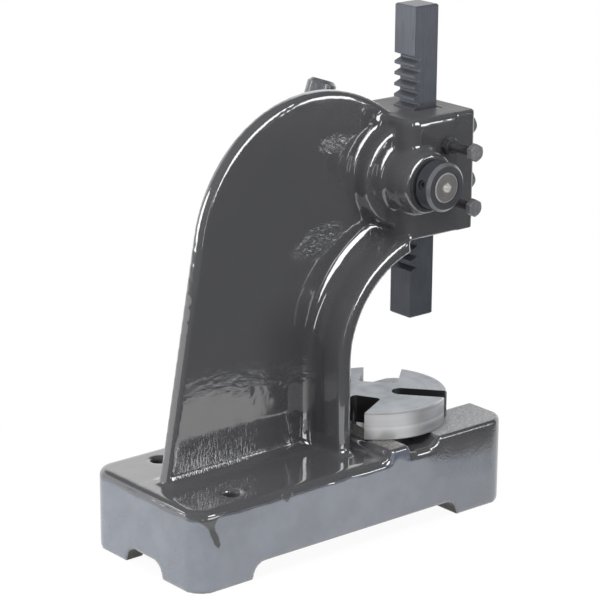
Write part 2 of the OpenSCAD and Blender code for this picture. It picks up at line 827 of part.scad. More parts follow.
frame_casting();
front_cover();
cover_bolt(-1, axis_z + cover_bolt_up);  // cover_bolt_upper_near
cover_bolt(1, axis_z + cover_bolt_up);  // cover_bolt_upper_far
cover_bolt(-1, axis_z - cover_bolt_down);  // cover_bolt_lower_near
cover_bolt(1, axis_z - cover_bolt_down);  // cover_bolt_lower_far
cover_washer(-1, axis_z + cover_bolt_up);  // cover_washer_upper_near
cover_washer(1, axis_z + cover_bolt_up);  // cover_washer_upper_far
cover_washer(-1, axis_z - cover_bolt_down);  // cover_washer_lower_near
cover_washer(1, axis_z - cover_bolt_down);  // cover_washer_lower_far
ram();
ram_gib();
gib_bolt(axis_z + gib_bolt_up);  // gib_bolt_upper
gib_bolt(axis_z - gib_bolt_down);  // gib_bolt_lower
gib_lock_nut(axis_z + gib_bolt_up);  // gib_lock_nut_upper
gib_lock_nut(axis_z - gib_bolt_down);  // gib_lock_nut_lower
pinion_shaft();
thrust_washer();
retaining_collar();
collar_set_screw();
lever_bar();
lever_cap_upper();
lever_cap_lower();
table_plate();
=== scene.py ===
# %% [markdown]
# # A small rack arbor press
# This lesson dresses a bench press that was drawn as exact solids. The solids give every place and size.
# Blender adds what the solids can't show: the thick glossy enamel on the casting, the turned and ground
# steel of the moving pieces, the screw threads and the studio around them. All lengths are in metres.

import math

import bpy
import numpy as np
from mathutils import Matrix, Vector


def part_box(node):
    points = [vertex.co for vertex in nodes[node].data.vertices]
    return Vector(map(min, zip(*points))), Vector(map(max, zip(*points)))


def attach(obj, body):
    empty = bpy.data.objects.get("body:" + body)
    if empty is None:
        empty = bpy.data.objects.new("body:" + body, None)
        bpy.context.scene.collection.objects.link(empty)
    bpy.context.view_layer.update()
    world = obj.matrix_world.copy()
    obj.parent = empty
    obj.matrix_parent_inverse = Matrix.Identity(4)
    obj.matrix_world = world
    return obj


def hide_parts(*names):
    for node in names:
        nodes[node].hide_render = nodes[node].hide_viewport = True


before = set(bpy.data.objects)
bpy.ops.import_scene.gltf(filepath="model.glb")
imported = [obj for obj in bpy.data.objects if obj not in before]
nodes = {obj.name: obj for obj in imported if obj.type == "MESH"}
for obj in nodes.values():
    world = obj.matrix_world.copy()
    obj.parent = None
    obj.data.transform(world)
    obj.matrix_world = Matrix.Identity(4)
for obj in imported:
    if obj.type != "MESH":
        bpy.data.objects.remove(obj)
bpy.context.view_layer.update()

# %% [markdown]
# ## The camera
# The view comes from a pinhole camera fitted to the straight edges and circles of the reference picture.
# It could be aimed by hand, but then no edge would fall on its own pixel. Three angles and a place describe
# it. The lens length follows from the focal length in pixels, because the picture's width stands for the
# sensor's width.

# %% Camera
picture_width = 600
sensor_width = 36
focal_pixels = 2514.756
camera_place = (-1.147266, 0.960811, 0.611764)
azimuth, elevation, roll = (math.radians(angle) for angle in (230.178, 17.22, 0.37))
back = Vector((
    math.sin(azimuth) * math.cos(elevation),
    -math.cos(azimuth) * math.cos(elevation),
    math.sin(elevation),
))
level = Vector((0, 0, 1)).cross(back).normalized()
upright = back.cross(level)
right = math.cos(roll) * level + math.sin(roll) * upright
up = math.cos(roll) * upright - math.sin(roll) * level
camera_data = bpy.data.cameras.new("camera")
camera_data.sensor_width = sensor_width
camera_data.lens = sensor_width * focal_pixels / picture_width
camera = bpy.data.objects.new("camera", camera_data)
turned_view = Matrix((right, up, back)).transposed().to_4x4()
camera.matrix_world = Matrix.Translation(camera_place) @ turned_view
bpy.context.scene.collection.objects.link(camera)
bpy.context.scene.camera = camera
print("lens", round(camera_data.lens, 2), "mm")

# %% [markdown]
# ## Materials from nodes
# A material is a small network of nodes. It could be drawn by hand in the node editor, but a few helpers let
# each recipe read like a list of steps: one starts a material, one adds a node and fills or links its inputs,
# and others give the place on the object and the way its surface faces.

# %% Node helpers
def finish(name):
    """A new node material, with its tree and its Principled shader."""
    material = bpy.data.materials.new(name)
    material.use_nodes = True
    return material, material.node_tree, material.node_tree.nodes["Principled BSDF"]


def feed(tree, node, inputs):
    """Fills a node's inputs: links those given as sockets, and writes plain numbers and colours."""
    for key, value in inputs.items():
        socket = node.inputs[key]
        if isinstance(value, bpy.types.NodeSocket):
            tree.links.new(value, socket)
        elif isinstance(value, tuple) and len(value) == 3 and socket.type == "RGBA":
            socket.default_value = (*value, 1)
        else:
            socket.default_value = value


def add(tree, kind, inputs, **settings):
    """A new node with its settings made and its inputs fed."""
    node = tree.nodes.new(kind)
    for key, value in settings.items():
        setattr(node, key, value)
    feed(tree, node, inputs)
    return node


def place(tree):
    """The point on the object in metres, as a vector and as x, y and z."""
    vector = add(tree, "ShaderNodeTexCoord", {}).outputs["Object"]
    return vector, *add(tree, "ShaderNodeSeparateXYZ", {0: vector}).outputs


def facing(tree):
    """The x, y and z of the surface's normal."""
    normal = add(tree, "ShaderNodeNewGeometry", {}).outputs["Normal"]
    return add(tree, "ShaderNodeSeparateXYZ", {0: normal}).outputs


def paint(node_names, material):
    """Gives the named solids one material."""
    for name in node_names:
        nodes[name].data.materials.clear()
        nodes[name].data.materials.append(material)
    print(material.name, "on", ", ".join(node_names))


# %% [markdown]
# ## Masks and sums
# Most of a finish is a question of where: a mask is 1 where a mark lies, 0 elsewhere and in between at its
# border. Masks are multiplied where several conditions must hold and compared where either will do. Math
# nodes take two values each, so these helpers chain as many of them as a line needs.

# %% Arithmetic helpers
def maths(tree, operation, *values):
    """One operation on a single value, or on several of them from left to right."""
    result = values[0]
    for value in values[1:] or (0.0,):
        result = add(tree, "ShaderNodeMath", {0: result, 1: value}, operation=operation).outputs[0]
    return result


def times(tree, *values):
    """The product of values."""
    return maths(tree, "MULTIPLY", *values)


def plus(tree, *values):
    """The sum of values."""
    return maths(tree, "ADD", *values)


def minus(tree, *values):
    """The first value less the others."""
    return maths(tree, "SUBTRACT", *values)


def most(tree, *values):
    """The largest of values."""
    return maths(tree, "MAXIMUM", *values)


def size(tree, value):
    """The value without its sign."""
    return maths(tree, "ABSOLUTE", value)


def beyond(tree, value, limit):
    """How far a value lies past a limit, and 0 before it."""
    return most(tree, minus(tree, value, limit), 0.0)


def squares(tree, first, second):
    """The sum of two squares, which is the square of a distance."""
    return plus(tree, times(tree, first, first), times(tree, second, second))


def step(tree, value, low, high):
    """0 below low and 1 above high, with a smooth rise between. With low above high it falls."""
    if low < high:
        limits = {"From Min": low, "From Max": high, "To Min": 0.0, "To Max": 1.0}
    else:
        limits = {"From Min": high, "From Max": low, "To Min": 1.0, "To Max": 0.0}
    ramp = add(tree, "ShaderNodeMapRange", {"Value": value, **limits}, interpolation_type="SMOOTHSTEP")
    return ramp.outputs["Result"]


def between(tree, value, rise, fall):
    """1 between a smooth rise over the first pair of values and a smooth fall over the second pair."""
    return times(tree, step(tree, value, *rise), step(tree, value, fall[1], fall[0]))


# %% [markdown]
# ## Noise, tones and relief
# Nothing on a used tool is even. Noise in metres of the object gives clouds, streaks and frayed borders
# without any picture, and it stays in place when the part moves. Blends turn it into tones, and a bump node
# turns it into a relief that tilts the surface.

# %% Pattern helpers
def noise(tree, vector, scale, detail=2.0, rough=0.5):
    """Cloudy noise between 0 and 1, with its scale in features per metre."""
    inputs = {"Vector": vector, "Scale": scale, "Detail": detail, "Roughness": rough}
    return add(tree, "ShaderNodeTexNoise", inputs).outputs[0]


def swing(tree, pattern, reach):
    """A noise moved to lie about 0 and scaled, which shifts a border or a surface both ways."""
    return times(tree, minus(tree, pattern, 0.5), reach)


def stretch(tree, vector, scale, turn=(0.0, 0.0, 0.0)):
    """The same place turned and with each axis scaled, which draws noise out into streaks."""
    return add(tree, "ShaderNodeMapping", {"Vector": vector, "Rotation": turn, "Scale": scale}).outputs[0]


def blend(tree, share, first, second):
    """A colour between two, by share."""
    return add(tree, "ShaderNodeMix", {0: share, 6: first, 7: second}, data_type="RGBA").outputs[2]


def lerp(tree, share, first, second):
    """A number between two, by share."""
    return add(tree, "ShaderNodeMix", {0: share, 2: first, 3: second}, data_type="FLOAT").outputs[0]


def relief(tree, height, depth):
    """A bumped normal, where the height counts as that many metres."""
    return add(tree, "ShaderNodeBump", {"Height": height, "Strength": 1.0, "Distance": depth}).outputs[0]


# %% [markdown]
# ## The casting's soft edges
# A sand casting under thick enamel has no sharp edge anywhere. A bevel would need every edge to be clean and
# would stop at each crossing. So the solid is remeshed into an even skin of small squares, and that skin is
# smoothed, which rounds each edge and fills each corner. Both steps are modifiers: the solid stays as it is.

# %% Enamel skin
def soften(name, square, passes=3):
    """Remeshes a solid into squares of that size and smooths them that many times."""
    solid = nodes[name]
    remesh = solid.modifiers.new("skin", "REMESH")
    remesh.mode = "VOXEL"
    remesh.voxel_size = square
    remesh.use_smooth_shade = True
    smooth = solid.modifiers.new("soften", "SMOOTH")
    smooth.factor = 0.5
    smooth.iterations = passes
    made = solid.evaluated_get(bpy.context.evaluated_depsgraph_get())
    print(name, "skin has", len(made.data.polygons), "faces")


soften("frame_casting", 0.00156)
soften("front_cover", 0.0008)

# %% [markdown]
# ## Enamel: where it lies
# The enamel is a dark grey with a hard gloss over everything but the pads, which were machined bare after
# painting to carry the table plate. The pads could be a material of their own, but one material with a mask
# needs no cut through the casting's skin. The pads' height is the underside of the plate.

# %% Coated and bare
enamel, tree, shader = finish("enamel")
spot, x, y, z = place(tree)
nz = facing(tree)[2]
off_middle = size(tree, x)
plate_low, plate_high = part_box("table_plate")
pad_top = plate_low.z
pad_rise = (pad_top - 0.0011, pad_top - 0.0006)
pad_fall = (pad_top + 0.0013, pad_top + 0.0023)
bare = times(tree, step(tree, nz, 0.85, 0.95), between(tree, z, pad_rise, pad_fall))
coated = minus(tree, 1.0, bare)
upright_side = step(tree, size(tree, nz), 0.45, 0.25)
base_side = times(tree, upright_side, step(tree, z, pad_top + 0.0008, pad_top - 0.0002))
print("pads are bare at", round(pad_top, 4), "m")

# %% [markdown]
# ## Enamel: the border of the painted reflection on the base's sides
# The base's sides carry a pale blue grey, painted as the reflection of the white table, and the dark coat from
# above ends on it in a border. Towards the front the border sinks and frays, and it climbs beside the pad.
# A border drawn as a curve would look cut out, so each point's height is shifted by slopes and noise and then
# compared with one limit.

# %% Frayed border
base_top = 0.0520
fray_reach, wander_reach = 0.026, 0.004
front_drop, pad_climb = 0.009, 0.011
fray = swing(tree, noise(tree, spot, 760.0, 4.0, 0.6), fray_reach)
wander = swing(tree, noise(tree, spot, 45.0), wander_reach)
at_front = step(tree, y, -0.052, -0.066)
slope_down = times(tree, step(tree, y, -0.03, -0.127), front_drop)
beside_pad = times(tree, between(tree, y, (-0.0430, -0.0395), (-0.0275, -0.0235)), pad_climb)
border_height = plus(tree, z, times(tree, fray, at_front), slope_down, wander)
border_height = minus(tree, border_height, beside_pad)
print("border runs below", base_top, "m along the base's sides")

# %% [markdown]
# ## Enamel: the run at the rear corner
# Thick enamel ran down the near side at the rear corner before it set, and a small drop formed farther along
# the edge. The run could be a piece of its own, but it is thinner than the skin's squares. So it is a mask:
# the distance from a slanted path that sways with noise, less a half width that flares at the top, where
# the run leaves the edge, and closes at the bottom.

# %% Run and drop
run_foot_z, run_foot_y, run_slant = 0.0280, 0.1108, 0.36
run_half, run_flare, run_flare_z = 0.0021, 160.0, 0.0415
run_close_z, run_taper = 0.0300, 0.9
drop_y, drop_z, drop_taper = 0.0585, 0.0438, 0.9
sway_reach = 0.0042
sway = swing(tree, noise(tree, spot, 200.0, 4.0, 0.6), sway_reach)
run_path = plus(tree, times(tree, minus(tree, z, run_foot_z), run_slant), run_foot_y)
from_path = size(tree, plus(tree, minus(tree, y, run_path), sway))
flare = beyond(tree, z, run_flare_z)
half_width = plus(tree, times(tree, flare, flare, run_flare), run_half)
closing = times(tree, beyond(tree, run_close_z, z), run_taper)
run = step(tree, minus(tree, plus(tree, from_path, closing), half_width), 0.0005, -0.0005)
from_drop = size(tree, minus(tree, plus(tree, y, sway), drop_y))
drop = step(tree, minus(tree, z, times(tree, from_drop, drop_taper)), drop_z, drop_z + 0.0008)
drop = times(tree, drop, step(tree, from_drop, 0.0045, 0.0035))
run = times(tree, most(tree, run, drop), step(tree, x, -0.040, -0.046), base_side)
print("run hangs at y =", run_foot_y, "m")

# %% [markdown]
# ## Enamel: worn places and painted shade
# The head's top, level with the cover's, was filed flat near the ram, so its coat is dull there. The corner
# between web and throat flange is painted dark as shade and its coat dulled, the web beside the flange is
# painted dark as the flange's shadow, and the base is raw iron inside, painted very dark as shade. Painting by
# hand would need an image, so each place is a box with soft borders. The base's inside is told from its
# outside by the distance from a rectangle, because the outer wall is a rectangle with round corners.

# %% Wear and dirt
base_half_x, base_half_y, corner_radius = 0.0540, 0.1270, 0.0134
cover_low, cover_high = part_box("front_cover")
filed = times(
    tree,
    step(tree, z, cover_high.z - 0.0013, cover_high.z - 0.0005),
    step(tree, nz, 0.90, 0.97),
    step(tree, y, -0.056, -0.062),
)
# Painted shade: the corner between web and throat flange is darkened in colour, and its coat is dulled.
corner = times(
    tree,
    between(tree, off_middle, (0.0052, 0.0070), (0.0150, 0.0175)),
    between(tree, y, (-0.0045, -0.0020), (0.006, 0.012)),
    between(tree, z, (0.060, 0.066), (0.120, 0.135)),
)
# Painted shadow: the web beside the flange is darkened as the flange's shadow.
painted_flange_shadow = times(
    tree,
    step(tree, off_middle, 0.0120, 0.0080),
    between(tree, y, (-0.010, -0.004), (0.022, 0.046)),
    step(tree, z, 0.165, 0.125),
)
past_x = beyond(tree, off_middle, base_half_x - corner_radius)
past_y = beyond(tree, size(tree, y), base_half_y - corner_radius)
past = maths(tree, "SQRT", squares(tree, past_x, past_y))
in_slot = times(tree, step(tree, off_middle, 0.0215, 0.0205), step(tree, y, -0.044, -0.046))
# The inside of the base is raw iron, and below the top its colour is painted very dark as shade.
inside = step(tree, past, corner_radius - 0.0007, corner_radius - 0.0013)
under_top = step(tree, z, base_top - 0.0045, base_top - 0.0065)
raw = times(tree, inside, under_top, minus(tree, 1.0, in_slot))
print("base is raw inside an outline of", 2 * base_half_x, "by", 2 * base_half_y, "m")

# %% [markdown]
# ## Enamel: sags and tears on the web
# On the column's web the enamel slid down before it set. It hangs in folds halfway up and in narrow slanted
# tears near the foot, and a soft hollow lies above the foot. Sculpting would take far more faces than
# the casting needs. Each is a height in metres over the plain surface, so that they simply add up.

# %% Sags and tears
fold_depth, tear_depth, hollow_depth = 0.00024, 0.00014, 0.0006
on_web = step(tree, off_middle, 0.012, 0.008)
level_z = plus(tree, z, swing(tree, noise(tree, spot, 70.0), 0.030))
sagged = times(tree, on_web, step(tree, z, 0.128, 0.112), step(tree, level_z, 0.094, 0.106))
folds = times(tree, noise(tree, stretch(tree, spot, (300.0, 190.0, 400.0)), 1.0, 3.0), fold_depth)
dripped = times(tree, on_web, step(tree, level_z, 0.092, 0.080), step(tree, z, 0.050, 0.0535))
dripped = times(tree, dripped, step(tree, y, 0.030, 0.050))
slanted = stretch(tree, spot, (300.0, 780.0, 210.0), (0.30, 0.0, 0.0))
tears = times(tree, noise(tree, slanted, 1.0, 2.0, 0.6), tear_depth)
hollow = times(tree, step(tree, plus(tree, z, wander), 0.083, 0.070), step(tree, z, 0.054, 0.068))
hollow = times(tree, hollow, on_web, -hollow_depth)
web_height = plus(tree, times(tree, folds, sagged), times(tree, tears, dripped), hollow)
print("folds are", fold_depth, "m and tears", tear_depth, "m deep")

# %% [markdown]
# ## Enamel: creases beside the disc
# Where the web meets the raised disc of the shaft's boss, the skin of the drying enamel crumpled in two oval
# patches. An oval is where a sum of two squares stays below 1. The noise in it lies about 0, so the
# surface stays level at the oval's border and no outline shows.

# %% Creases
def oval(tree, middle, half_length, half_width, tilt):
    """A mask over y and z that is 1 in the middle of an oval and falls to 0 where the squares of the shares
    of its half length and half width add up to 1. Its length points to +Y, tilted down by some degrees."""
    turn = math.radians(tilt)
    off_y = minus(tree, y, middle[0])
    off_z = minus(tree, z, middle[1])
    along = minus(tree, times(tree, off_y, math.cos(turn)), times(tree, off_z, math.sin(turn)))
    across = plus(tree, times(tree, off_y, math.sin(turn)), times(tree, off_z, math.cos(turn)))
    shares = squares(tree, times(tree, along, 1 / half_length), times(tree, across, 1 / half_width))
    return step(tree, shares, 1.0, 0.2)


crease_depth = 0.00085
under_disc = oval(tree, (-0.0035, 0.1860), 0.02942, 0.01215, 20.65)
over_disc = oval(tree, (-0.0170, 0.2465), 0.01429, 0.00714, 0.0)
crease_noise = noise(tree, stretch(tree, spot, (300.0, 330.0, 260.0)), 1.0, 3.0, 0.6)
creases = times(tree, swing(tree, crease_noise, crease_depth), most(tree, under_disc, over_disc), on_web)
print("creases in two ovals are", crease_depth, "m deep")

# %% [markdown]
# ## Enamel: the whole relief
# The coat lies in slow waves everywhere, with a fine peel like that of an orange. It is pitted on the base's
# front, and at the base's upper edge it rounds over, so that it turns up and mirrors the lamps. The fall
# is the square of the height above a limit, which starts level and steepens. All heights are summed once.

# %% Relief
wave_depth, peel_depth, pit_depth, bead_height = 0.00022, 0.000008, 0.00014, 0.0004
rounding_curve = 80.0
waves = times(tree, noise(tree, spot, 60.0, 1.0), wave_depth)
peel = times(tree, noise(tree, spot, 300.0, 1.0), peel_depth)
pitted = times(tree, at_front, base_side, step(tree, border_height, 0.030, 0.040))
pits = times(tree, noise(tree, spot, 700.0, 3.0), pit_depth, pitted)
above = beyond(tree, plus(tree, z, wander), base_top - 0.0058)
on_outside = step(tree, past, corner_radius - 0.0044, corner_radius - 0.0024)
behind_pad = step(tree, y, -0.028, -0.020)
rounding = times(tree, above, above, -rounding_curve, behind_pad, base_side, on_outside)
bead = times(tree, run, bead_height)
height = plus(tree, waves, web_height, creases, rounding, bead, peel, pits)
bumps = relief(tree, times(tree, height, coated), 1.0)
print("relief sums seven heights")

# %% [markdown]
# ## Enamel: colours
# The dark coat is almost even. On the base's sides a mottled blue grey, darker towards the front, is painted
# as the reflection of the white table. The run is left out of it and painted nearly black, and the pads are
# machined grey with oil stains towards the column. The corner at the flange, the web in the flange's shadow
# and the raw inside of the base are painted dark as shade.
# One colour after the other is laid over the last by its mask, as a painter would do it.

# %% Enamel colours
dark_grey = blend(tree, noise(tree, spot, 22.0), (0.050, 0.050, 0.0525), (0.061, 0.061, 0.064))
mottle = step(tree, noise(tree, spot, 34.0, 4.0, 0.6), 0.35, 0.65)
# Painted reflection: the sides' mottled blue grey stands for the white table mirrored in the enamel.
side_reflection_grey = blend(tree, mottle, (0.084, 0.095, 0.119), (0.108, 0.121, 0.149))
front_end = times(tree, step(tree, y, 0.010, -0.110), 0.75)
side_reflection_grey = blend(tree, front_end, side_reflection_grey, (0.058, 0.066, 0.084))
below_border = step(tree, border_height, base_top - 0.0030, base_top - 0.0070)
# The pale mask is where the painted reflection of the table lies on the base's sides.
pale = times(tree, base_side, below_border, minus(tree, 1.0, run))
coat_colour = blend(tree, pale, dark_grey, side_reflection_grey)
# The run is painted nearly black.
dark_run = times(tree, run, step(tree, z, 0.0440, 0.0390), 0.75)
coat_colour = blend(tree, dark_run, coat_colour, (0.020, 0.020, 0.021))
# Painted shade in the corner at the flange, and painted shadow on the web beside it.
coat_colour = blend(tree, times(tree, corner, 0.36), coat_colour, (0.018, 0.018, 0.019))
coat_colour = blend(tree, times(tree, painted_flange_shadow, 0.45), coat_colour, (0.022, 0.022, 0.023))
grain = step(tree, noise(tree, spot, 620.0, 3.0, 0.6), 0.36, 0.64)
machined_grey = blend(tree, grain, (0.235, 0.235, 0.237), (0.355, 0.355, 0.358))
stained = blend(tree, grain, (0.085, 0.082, 0.078), (0.22, 0.215, 0.205))
machined_grey = blend(tree, step(tree, y, -0.060, -0.045), machined_grey, stained)
# Raw iron, painted very dark as the shade inside the base.
iron_in_painted_shade = blend(tree, grain, (0.020, 0.019, 0.018), (0.050, 0.047, 0.044))
casting_colour = blend(tree, bare, coat_colour, machined_grey)
casting_colour = blend(tree, raw, casting_colour, iron_in_painted_shade)
print("enamel colours laid over each other")

# %% [markdown]
# ## Enamel: gloss
# Enamel is a coloured layer under a clear hard one. The shader's coat is that clear layer, with a high index
# so that it mirrors strongly. Filing, the painted-dark corner at the flange and raw iron take it away. Both
# layers share the relief.

# %% Enamel gloss
brushed = noise(tree, stretch(tree, spot, (700.0, 60.0, 700.0)), 1.0, 3.0)
dull = most(tree, times(tree, filed, lerp(tree, brushed, 0.70, 1.0)), times(tree, corner, 0.85), raw)
gloss = minus(tree, coated, times(tree, run, 0.8), dull)
feed(tree, shader, {
    "Base Color": casting_colour,
    "Metallic": times(tree, bare, 0.3),
    "Roughness": lerp(tree, most(tree, bare, dull), 0.14, 0.50),
    "IOR": 1.6,
    "Normal": bumps,
    "Coat Weight": most(tree, gloss, 0.0),
    "Coat Roughness": 0.03,
    "Coat IOR": 2.05,
    "Coat Normal": bumps,
})
paint(["frame_casting", "front_cover"], enamel)
print("enamel has", len(tree.nodes), "nodes")

# %% [markdown]
# ## Steels
# Every steel piece is a metal with a fine grain. What differs is the tone, how the tool left its marks and
# how much oil or oxide covers it. One recipe takes those as its values, so each piece keeps its own look.
# The marks are noise drawn out along the way that the tool or the drawing die went.

# %% Steel recipe
def tool_marks(tree, streak):
    """Streaked marks, slow clouds, and a mix of both as the share between two tones."""
    spot = place(tree)[0]
    marks = noise(tree, stretch(tree, spot, streak), 1.0, 4.0, 0.6)
    cloud = noise(tree, spot, 60.0, 3.0)
    return marks, cloud, step(tree, lerp(tree, 0.4, marks, cloud), 0.3, 0.7)


def steel(name, dark, light, rough, streak, depth=0.00002, coat=0.0, metal=1.0):
    """A metal whose colour runs between two tones along streaks, with fine relief."""
    material, tree, shader = finish(name)
    marks, cloud, share = tool_marks(tree, streak)
    feed(tree, shader, {
        "Base Color": blend(tree, share, dark, light),
        "Metallic": metal,
        "Roughness": lerp(tree, cloud, rough - 0.06, rough + 0.06),
        "Coat Weight": coat,
        "Coat Roughness": 0.15,
        "Normal": relief(tree, marks, depth),
    })
    return material


# %% [markdown]
# ## Bar, gib, caps and fasteners
# The lever bar is bright drawn steel and the gib is brass. Thrust washer and set screw are blue-black from a
# hot oxide bath, bolt heads are dark grey, their threads and the nuts darker still, and the lever's caps are
# dark and glossy. Steel under oil or oxide is only half a metal to the eye, so most of these have a coat and a
# lower metal value.

# %% Steel pieces
bar_steel = steel("bar_steel", (0.40, 0.40, 0.41), (0.55, 0.55, 0.56), 0.28, (900.0, 300.0, 60.0))
gib_brass = steel("gib_brass", (0.40, 0.29, 0.11), (0.55, 0.41, 0.18), 0.35, (900.0, 900.0, 60.0))
black = steel(
    "black_oxide", (0.048, 0.050, 0.057), (0.080, 0.083, 0.092), 0.36, (60.0, 700.0, 700.0),
    depth=0.00003, coat=0.4, metal=0.5,
)
oiled = steel(
    "fastener_steel", (0.13, 0.13, 0.137), (0.22, 0.22, 0.23), 0.40, (400.0, 400.0, 400.0),
    depth=0.00003, coat=0.3, metal=0.5,
)
thread_dark = steel(
    "thread_steel", (0.032, 0.032, 0.035), (0.080, 0.080, 0.085), 0.34, (600.0, 600.0, 600.0),
    coat=0.3, metal=0.5,
)
spring = steel(
    "washer_steel", (0.09, 0.09, 0.095), (0.15, 0.15, 0.155), 0.34, (500.0, 500.0, 500.0), metal=0.6,
)
cap_black = steel(
    "cap_black", (0.13, 0.133, 0.14), (0.21, 0.215, 0.225), 0.30, (500.0, 500.0, 80.0), coat=0.5, metal=0.6,
)
paint(["lever_bar"], bar_steel)
paint(["ram_gib"], gib_brass)
paint(["thrust_washer", "collar_set_screw"], black)
paint([name for name in nodes if "bolt" in name], oiled)
paint([name for name in nodes if "nut" in name], thread_dark)
paint([name for name in nodes if "cover_washer" in name], spring)
paint(["lever_cap_upper", "lever_cap_lower"], cap_black)

# %% [markdown]
# ## The ram
# The ram is a square bar, ground along its length one pair of sides at a time. The pair that faces the gib is
# painted darker than the pair with the rack, as shade. Sides could be told apart by material slots, but the
# way a side faces tells them apart too and leaves the mesh alone.

# %% Ram finish
ram_steel, tree, shader = finish("ram_steel")
marks, cloud, share = tool_marks(tree, (900.0, 900.0, 60.0))
rack_sides = blend(tree, share, (0.130, 0.137, 0.157), (0.178, 0.187, 0.210))
# Painted shade: the pair of sides towards the gib is darker.
shaded_gib_sides = blend(tree, share, (0.072, 0.078, 0.092), (0.100, 0.108, 0.124))
towards_gib = step(tree, size(tree, facing(tree)[0]), 0.6, 0.8)
feed(tree, shader, {
    "Base Color": blend(tree, towards_gib, rack_sides, shaded_gib_sides),
    "Metallic": 0.6,
    "Roughness": lerp(tree, cloud, 0.28, 0.40),
    "Normal": relief(tree, marks, 0.00002),
})
paint(["ram"], ram_steel)

# %% [markdown]
# ## Turned pieces
# The shaft, the collar and the table plate were faced on a lathe, whose tool leaves fine rings about the axis.
# A wave texture would make them too even. Noise that depends only on the place along the axis and the
# distance from it gives rings of uneven strength. The axes come from the solids' own boxes.

# %% Distance from an axis
def off_axis(tree, first, second, axis):
    """The distance from an axis, from the two coordinates that cross it and the axis's own two."""
    apart = squares(tree, minus(tree, first, axis[0]), minus(tree, second, axis[1]))
    return maths(tree, "SQRT", apart)


def lathe_rings(tree, along, radius, fineness):
    """Noise that changes only along the axis and with the distance from it."""
    coordinates = {0: times(tree, along, 900.0), 1: times(tree, radius, fineness)}
    return noise(tree, add(tree, "ShaderNodeCombineXYZ", coordinates).outputs[0], 1.0, 3.0)


collar_low, collar_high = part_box("retaining_collar")
pinion_axis = ((collar_low.y + collar_high.y) / 2, (collar_low.z + collar_high.z) / 2)
collar_radius = (collar_high.y - collar_low.y) / 2
plate_axis = ((plate_low.x + plate_high.x) / 2, (plate_low.y + plate_high.y) / 2)
plate_radius = (plate_high.y - plate_low.y) / 2
print("pinion axis", [round(v, 5) for v in pinion_axis], "plate axis", [round(v, 5) for v in plate_axis])

# %% [markdown]
# ## The shaft's end
# The shaft's plain end shows inside the collar. A bright spot at the centre drill and a bright ring at the
# edge are painted highlights, both broken up by clouds. Two masks over the radius draw them, and a third keeps
# them to the end, so that the journals stay plain.

# %% Shaft finish
shaft_steel, tree, shader = finish("turned_steel")
spot, x, y, z = place(tree)
radius = off_axis(tree, y, z, pinion_axis)
rings = lathe_rings(tree, x, radius, 2600.0)
cloud = noise(tree, spot, 260.0, 3.0)
tone = blend(tree, lerp(tree, 0.5, rings, cloud), (0.11, 0.104, 0.102), (0.25, 0.238, 0.234))
# Painted highlights: a bright spot at the centre drill and a bright ring at the edge.
centre_mark = step(tree, plus(tree, radius, times(tree, cloud, 0.004)), 0.0057, 0.0042)
edge_mark = times(tree, step(tree, radius, 0.0085, 0.0091), lerp(tree, cloud, 0.3, 1.0))
bright = times(tree, most(tree, centre_mark, edge_mark), step(tree, x, -0.0440, -0.0450))
feed(tree, shader, {
    "Base Color": blend(tree, bright, tone, (0.70, 0.68, 0.66)),
    "Metallic": 0.6,
    "Roughness": lerp(tree, cloud, 0.24, 0.38),
    "Normal": relief(tree, rings, 0.00005),
})
paint(["pinion_shaft"], shaft_steel)

# %% [markdown]
# ## The collar
# The collar that holds the shaft in place is blackened, and its outer bevel is painted pale, partly as rubbed
# wear and partly as the highlight that the bevel catches. The bevel is the one place that is both far from the
# axis and close to the collar's face, so a mask of those two finds it without a seam in the mesh.

# %% Collar finish
collar_oxide, tree, shader = finish("collar_oxide")
spot, x, y, z = place(tree)
radius = off_axis(tree, y, z, pinion_axis)
rings = lathe_rings(tree, x, radius, 2000.0)
cloud = noise(tree, spot, 150.0, 3.0)
tone = blend(tree, lerp(tree, 0.5, rings, cloud), (0.040, 0.042, 0.049), (0.072, 0.075, 0.084))
far_out = step(tree, radius, collar_radius - 0.0021, collar_radius - 0.0016)
at_face = step(tree, x, collar_low.x + 0.0025, collar_low.x + 0.0020)
# Painted highlight and wear: the outer bevel is pale.
worn_and_highlit_bevel = times(tree, far_out, at_face, lerp(tree, cloud, 0.35, 1.0))
feed(tree, shader, {
    "Base Color": blend(tree, worn_and_highlit_bevel, tone, (0.185, 0.185, 0.193)),
    "Metallic": 0.5,
    "Roughness": lerp(tree, cloud, 0.28, 0.40),
    "Normal": relief(tree, rings, 0.00002),
    "Coat Weight": 0.5,
    "Coat Roughness": 0.12,
})
paint(["retaining_collar"], collar_oxide)

# %% [markdown]
# ## The table plate
# The loose plate is machined all over. A pale line is worn round its side. Its top edge is painted bright as a
# highlight, the back of its rim is painted light as the lit side, and the walls of its slots are painted dark
# as shade. The rim is told from the slots' walls by its distance from the axis, and walls from faces by the
# way they face.

# %% Plate finish
worn_line_z = 0.0655
plate_steel, tree, shader = finish("plate_steel")
spot, x, y, z = place(tree)
radius = off_axis(tree, x, y, plate_axis)
rings = lathe_rings(tree, z, radius, 900.0)
cloud = noise(tree, spot, 45.0, 3.0)
share = step(tree, lerp(tree, 0.6667, rings, cloud), 0.30, 0.70)
tone = blend(tree, share, (0.26, 0.28, 0.31), (0.51, 0.53, 0.56))
rim = step(tree, radius, plate_radius - 0.0012, plate_radius - 0.0006)
worn_line = step(tree, size(tree, minus(tree, z, worn_line_z)), 0.0016, 0.0004)
# Painted highlight: a bright line along the top edge.
top_edge = step(tree, z, plate_high.z - 0.0010, plate_high.z - 0.0004)
side_line_and_edge_highlight = times(tree, rim, most(tree, worn_line, top_edge), lerp(tree, cloud, 0.2, 1.0))
tone = blend(tree, side_line_and_edge_highlight, tone, (0.80, 0.80, 0.80))
